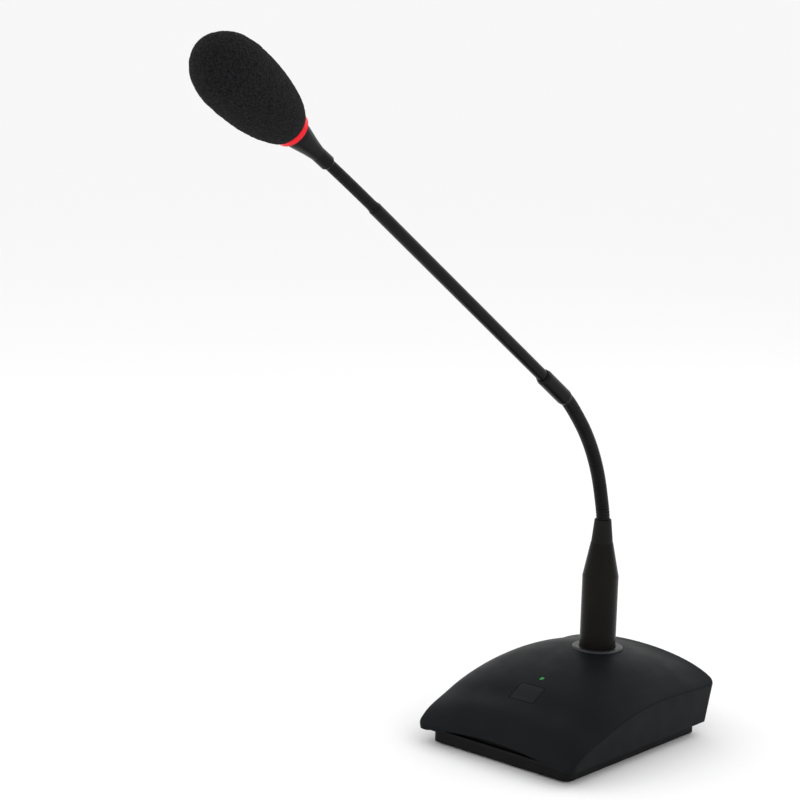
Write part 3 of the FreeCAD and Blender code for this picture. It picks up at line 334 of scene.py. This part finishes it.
# %% Finish of each CAD piece
finish_of = {
    "non_slip_mat": mat_finish, "bottom_tray": tray_finish, "ballast_plate": zinc_finish,
    "ballast_screws": zinc_finish, "cover_screws": zinc_finish, "top_cover": cover_finish,
    "board_spacers": brass_finish, "circuit_board": board_finish, "board_screws": zinc_finish,
    "board_chips": chip_finish, "board_connector": connector_finish, "button_board": board_finish,
    "button_board_screws": zinc_finish, "tact_switch": switch_finish, "status_led": diode_finish,
    "light_pipe": light_finish, "talk_button": button_finish, "switch_plunger": switch_finish,
    "signal_lead": jacket_finish, "output_jack": jack_finish, "jack_washer": nickel_finish,
    "jack_nut": nickel_finish, "socket_bezel": bezel_finish, "socket_shell": insulator_finish,
    "socket_insert": insulator_finish, "socket_contacts": brass_finish, "plug_barrel": plug_finish,
    "plug_insert": insulator_finish, "plug_pins": brass_finish, "plug_cone": plug_finish,
    "strain_boot": boot_finish, "lower_neck_root": neck_finish, "lower_collar": tube_finish,
    "rigid_tube": tube_finish, "microphone_lead": jacket_finish, "upper_neck_root": neck_finish,
    "head_sleeve": tube_finish, "light_ring": ring_finish, "ring_board": board_finish,
    "ring_leds": diode_finish, "capsule_housing": tube_finish, "capsule_holder": holder_finish,
    "capsule": alloy_finish, "capsule_grille": grille_finish,
}
for number in range(1, 7):
    finish_of[f"lower_neck_link_{number}"] = neck_finish
for number in range(1, 4):
    finish_of[f"upper_neck_link_{number}"] = neck_finish
for node, piece in frame["nodes"].items():
    for material_slot in piece.material_slots:
        material_slot.material = finish_of.get(node, neck_finish)
print(len(finish_of), "CAD pieces have a finish")

# %% [markdown]
# ## The wound goosenecks
# A gooseneck is a spring wound from round wire with a second, wedge-shaped wire pressed between its turns.
# Its surface is a row of rounded ridges. The CAD model holds it as stiff links with ball-shaped ends, so
# each stretch between the middles of two links gets a sleeve here that bends over the joint between them.
#
# A sleeve could be an array of rings on a curve, but here each sleeve is one closed skin: a ridged
# outline spun round an upright axis, closed at both ends, and then laid along a smooth line through the
# joints.

# %% A smooth line through the joints
LOWER_LEAD = 0.0125    # metres that the lower line runs on past its first and last hinges
UPPER_LEAD = 0.0114    # the same for the thin gooseneck


def smooth_point(stops, place):
    """A point and a direction on the line through the stops; a place of 2.5 is halfway from stop 2 to 3."""
    index = min(max(int(place), 1), len(stops) - 3)
    share = place - index
    before, first, second, after = stops[index - 1:index + 3]
    leave = (second - before) / 2
    arrive = (after - first) / 2
    point = ((2 * share ** 3 - 3 * share ** 2 + 1) * first + (share ** 3 - 2 * share ** 2 + share) * leave
             + (3 * share ** 2 - 2 * share ** 3) * second + (share ** 3 - share ** 2) * arrive)
    direction = ((6 * share ** 2 - 6 * share) * first + (3 * share ** 2 - 4 * share + 1) * leave
                 + (6 * share - 6 * share ** 2) * second + (3 * share ** 2 - 2 * share) * arrive)
    return point, direction.normalized()


bend_names = ["neck_bend", "neck_sway", "neck_bend_2", "neck_sway_2", "neck_bend_3", "neck_sway_3",
              "neck_bend_4"]
lower_stops = [joint_point(name) for name in bend_names]
tube_direction = (joint_point("head_nod") - lower_stops[-1]).normalized()
lower_stops = ([lower_stops[0] - Vector((0, 0, LOWER_LEAD))] + lower_stops
               + [lower_stops[-1] + LOWER_LEAD * tube_direction])

head_direction = Vector(joints["windscreen_pull"]["axis"])
upper_stops = [joint_point(name) for name in ("head_nod", "head_turn", "head_nod_2", "head_turn_2")]
upper_stops = ([upper_stops[0] - UPPER_LEAD * tube_direction] + upper_stops
               + [upper_stops[-1] + UPPER_LEAD * head_direction])
print("lower stops", len(lower_stops), "upper stops", len(upper_stops))


# %% Helper: turn a finished bmesh into a piece
MERGE_WITHIN = 1e-7    # metres


def make_piece(name, shape, finish):
    """Merge doubles, turn the faces outwards, shade them smooth and give the piece one finish."""
    bmesh.ops.remove_doubles(shape, verts=shape.verts, dist=MERGE_WITHIN)
    bmesh.ops.recalc_face_normals(shape, faces=shape.faces)
    for face in shape.faces:
        face.smooth = True
    data = bpy.data.meshes.new(name)
    shape.to_mesh(data)
    shape.free()
    data.materials.append(finish)
    piece = bpy.data.objects.new(name, data)
    bpy.context.collection.objects.link(piece)
    return piece


# %% Helper: one ridged sleeve
RIDGE_SWELL = (0.0, 0.62, 0.92, 1.0, 0.92, 0.62)    # shares of the groove's depth, over one turn


def ridged_sleeve(radius, groove, turns, steps):
    """A closed sleeve of unit height: one rounded ridge per turn, spun round the upright axis."""
    shape = bmesh.new()
    outline = [shape.verts.new((0, 0, 0))]
    for turn in range(turns):
        for index, share in enumerate(RIDGE_SWELL):
            height = (turn + index / len(RIDGE_SWELL)) / turns
            outline.append(shape.verts.new((radius - groove * (1 - share), 0, height)))
    outline.append(shape.verts.new((radius - groove, 0, 1)))
    outline.append(shape.verts.new((0, 0, 1)))
    edges = [shape.edges.new(pair) for pair in zip(outline, outline[1:])]
    bmesh.ops.spin(shape, geom=outline + edges, cent=(0, 0, 0), axis=(0, 0, 1), angle=2 * math.pi,
                   steps=steps, use_merge=True)
    return shape


def lay_along(shape, stops, start, end):
    """Carry a unit-high shape onto the line, from one place on it to another."""
    for corner in shape.verts:
        point, direction = smooth_point(stops, start + (end - start) * corner.co.z)
        forward = Vector((1, 0, 0)).cross(direction)
        corner.co = point + corner.co.x * Vector((1, 0, 0)) - corner.co.y * forward


# %% Wound sleeves of the lower gooseneck
# A sleeve reaches half a stop each way, but the end ones stop short, on the pieces that hold the neck.
LOWER_RADIUS, LOWER_GROOVE = 0.0036, 0.00026
LOWER_TURNS, LOWER_STEPS = 8, 40    # ridges from one stop to the next, faces round the sleeve
LOWER_START, LOWER_END = 0.16, 0.2

lower_bodies = ["plug"] + [f"neck_link_{number}" for number in range(1, 7)] + ["tube"]
lower_last = len(lower_bodies) - 2
for number in range(lower_last + 1):
    centre = number + 1
    start = centre - (LOWER_START if number == 0 else 0.5)
    end = centre + (LOWER_END if number == lower_last else 0.5)
    shape = ridged_sleeve(LOWER_RADIUS, LOWER_GROOVE, round(LOWER_TURNS * (end - start)), LOWER_STEPS)
    lay_along(shape, lower_stops, start, end)
    sleeve = make_piece(f"lower_sleeve_{number + 1}", shape, neck_finish)
    if number < lower_last:
        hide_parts(f"lower_neck_link_{number + 1}")
    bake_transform(sleeve)
    print(sleeve.name, len(sleeve.data.polygons), "faces")

# %% Wound sleeves of the thin gooseneck
THIN_RADIUS, THIN_GROOVE = 0.00265, 0.00022
THIN_TURNS, THIN_STEPS = 9, 36
THIN_START, THIN_END = 0.105, 0.15

upper_bodies = ["tube"] + [f"thin_link_{number}" for number in range(1, 4)] + ["head"]
upper_last = len(upper_bodies) - 2
for number in range(upper_last + 1):
    centre = number + 1
    start = centre - (THIN_START if number == 0 else 0.5)
    end = centre + (THIN_END if number == upper_last else 0.5)
    shape = ridged_sleeve(THIN_RADIUS, THIN_GROOVE, round(THIN_TURNS * (end - start)), THIN_STEPS)
    lay_along(shape, upper_stops, start, end)
    sleeve = make_piece(f"thin_sleeve_{number + 1}", shape, neck_finish)
    if number < upper_last:
        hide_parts(f"upper_neck_link_{number + 1}")
    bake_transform(sleeve)
    print(sleeve.name, len(sleeve.data.polygons), "faces")

# %% [markdown]
# ## The foam windscreen
# The windscreen is an egg of open-cell foam with a blind bore that slips over the capsule housing. Foam has
# no hard edges: its mouth is rounded, and its surface is a mass of tiny cells with a few larger pores.
#
# The egg's outline is spun round the head's axis. The outline runs on through the rounded mouth and up
# the bore, so the foam has its real wall. The surface is then lifted and sunk a little by a noise that is
# the same at each run, and the cells themselves come from the finish.

# %% Foam finish
CELL_SCALE = 1050    # cells per metre

foam_finish = make_finish("foam_charcoal", (0.018, 0.018, 0.0192), (0.005, 0.005, 0.0056), (0.9, 1.0),
                          cloud=1000, grain=2200, depth=0.0004, strength=1.0, Specular_IOR_Level=0.05)
foam_tree = foam_finish.node_tree
foam_place = foam_tree.nodes.new("ShaderNodeTexCoord")
foam_cells = foam_tree.nodes.new("ShaderNodeTexVoronoi")
foam_cells.inputs["Scale"].default_value = CELL_SCALE
foam_cell_bump = foam_tree.nodes.new("ShaderNodeBump")
foam_cell_bump.inputs["Strength"].default_value = 0.9
foam_cell_bump.inputs["Distance"].default_value = 0.0006
foam_tree.links.new(foam_place.outputs["Object"], foam_cells.inputs["Vector"])
foam_tree.links.new(foam_cells.outputs["Distance"], foam_cell_bump.inputs["Height"])
foam_grain_bump = next(node for node in foam_tree.nodes if node.type == "BUMP" and node != foam_cell_bump)
foam_tree.links.new(foam_cell_bump.outputs["Normal"], foam_grain_bump.inputs["Normal"])
foam_shader = foam_tree.nodes["Principled BSDF"]
foam_shader.inputs["Sheen Weight"].default_value = 0.015
foam_shader.inputs["Sheen Roughness"].default_value = 0.6
print("foam cells", round(1000 / CELL_SCALE, 2), "mm")

# %% Foam outline
# Heights are metres along the head's axis from its last hinge, radii are metres from that axis.
FOAM_MOUTH, FOAM_WIDEST, FOAM_TIP = 0.0313, 0.0685, 0.092
FOAM_RADIUS, FOAM_BORE, FOAM_BORE_TOP = 0.0166, 0.0068, 0.0565
TAIL_LENGTH = 0.0435                         # the long half would close this far behind the widest place
TIP_FULLNESS, TAIL_FULLNESS = 2.15, 2.18     # 2 would give an ellipse, more is blunter
TIP_STEPS, TAIL_STEPS = 24, 32
MOUTH_SHOULDER, MOUTH_ROUND = 0.0007, 0.0006


def foam_radius_at(height):
    """The egg's radius: a blunt half towards the tip and a long half towards the ring."""
    if height > FOAM_WIDEST:
        share, fullness = (height - FOAM_WIDEST) / (FOAM_TIP - FOAM_WIDEST), TIP_FULLNESS
    else:
        share, fullness = (FOAM_WIDEST - height) / TAIL_LENGTH, TAIL_FULLNESS
    return FOAM_RADIUS * max(0.0, 1 - share ** fullness) ** (1 / fullness)


foam_outline = []
for step in range(TIP_STEPS + 1):
    angle = math.radians(90 - step * 90 / TIP_STEPS)
    height = FOAM_WIDEST + (FOAM_TIP - FOAM_WIDEST) * math.sin(angle)
    foam_outline.append((foam_radius_at(height), height))
for step in range(1, TAIL_STEPS + 1):
    height = FOAM_WIDEST - (FOAM_WIDEST - FOAM_MOUTH - MOUTH_SHOULDER) * step / TAIL_STEPS
    foam_outline.append((foam_radius_at(height), height))
mouth_radius = foam_outline[-1][0]
foam_outline += [(mouth_radius - MOUTH_ROUND, FOAM_MOUTH), (FOAM_BORE + MOUTH_ROUND, FOAM_MOUTH),
                 (FOAM_BORE, FOAM_MOUTH + MOUTH_ROUND)]
foam_outline += [(FOAM_BORE, FOAM_MOUTH + (FOAM_BORE_TOP - FOAM_MOUTH) * share) for share in (0.35, 0.7, 1.0)]
foam_outline.append((0.0, FOAM_BORE_TOP))
print("foam", round(1000 * (FOAM_TIP - FOAM_MOUTH), 1), "long and", round(2000 * FOAM_RADIUS, 1), "mm wide")

# %% Foam windscreen
FOAM_STEPS = 72
FINE_NOISE, FINE_DEPTH = 900, 0.00016        # how fine it is per metre, and metres of lift
BROAD_NOISE, BROAD_DEPTH = 260, 0.00018
SKIN_SINK = 0.0002                           # brings the lifted skin back inside the egg's outline
BORE_MARGIN = 0.0012                         # the bore and its rounded edge stay as they were spun

foam = bmesh.new()
foam_corners = [foam.verts.new((radius, 0, height)) for radius, height in foam_outline]
foam_edges = [foam.edges.new(pair) for pair in zip(foam_corners, foam_corners[1:])]
bmesh.ops.spin(foam, geom=foam_corners + foam_edges, cent=(0, 0, 0), axis=(0, 0, 1), angle=2 * math.pi,
               steps=FOAM_STEPS, use_merge=True)
bmesh.ops.remove_doubles(foam, verts=foam.verts, dist=MERGE_WITHIN)
bmesh.ops.recalc_face_normals(foam, faces=foam.faces)
bmesh.ops.subdivide_edges(foam, edges=foam.edges, cuts=1, use_grid_fill=True, smooth=0.0)
foam.normal_update()
for corner in foam.verts:
    if corner.co.xy.length > FOAM_BORE + BORE_MARGIN:
        fine = noise.noise(corner.co * FINE_NOISE) * FINE_DEPTH
        broad = noise.noise(corner.co * BROAD_NOISE) * BROAD_DEPTH
        corner.co += corner.normal * (fine + broad - SKIN_SINK)
lean = math.atan2(-head_direction.y, head_direction.z)
bmesh.ops.transform(foam, matrix=Matrix.Translation(upper_stops[-2]) @ Matrix.Rotation(lean, 4, "X"),
                    verts=foam.verts)
windscreen = make_piece("foam_windscreen", foam, foam_finish)
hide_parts("windscreen")
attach(windscreen, "foam")
print("foam faces", len(windscreen.data.polygons))
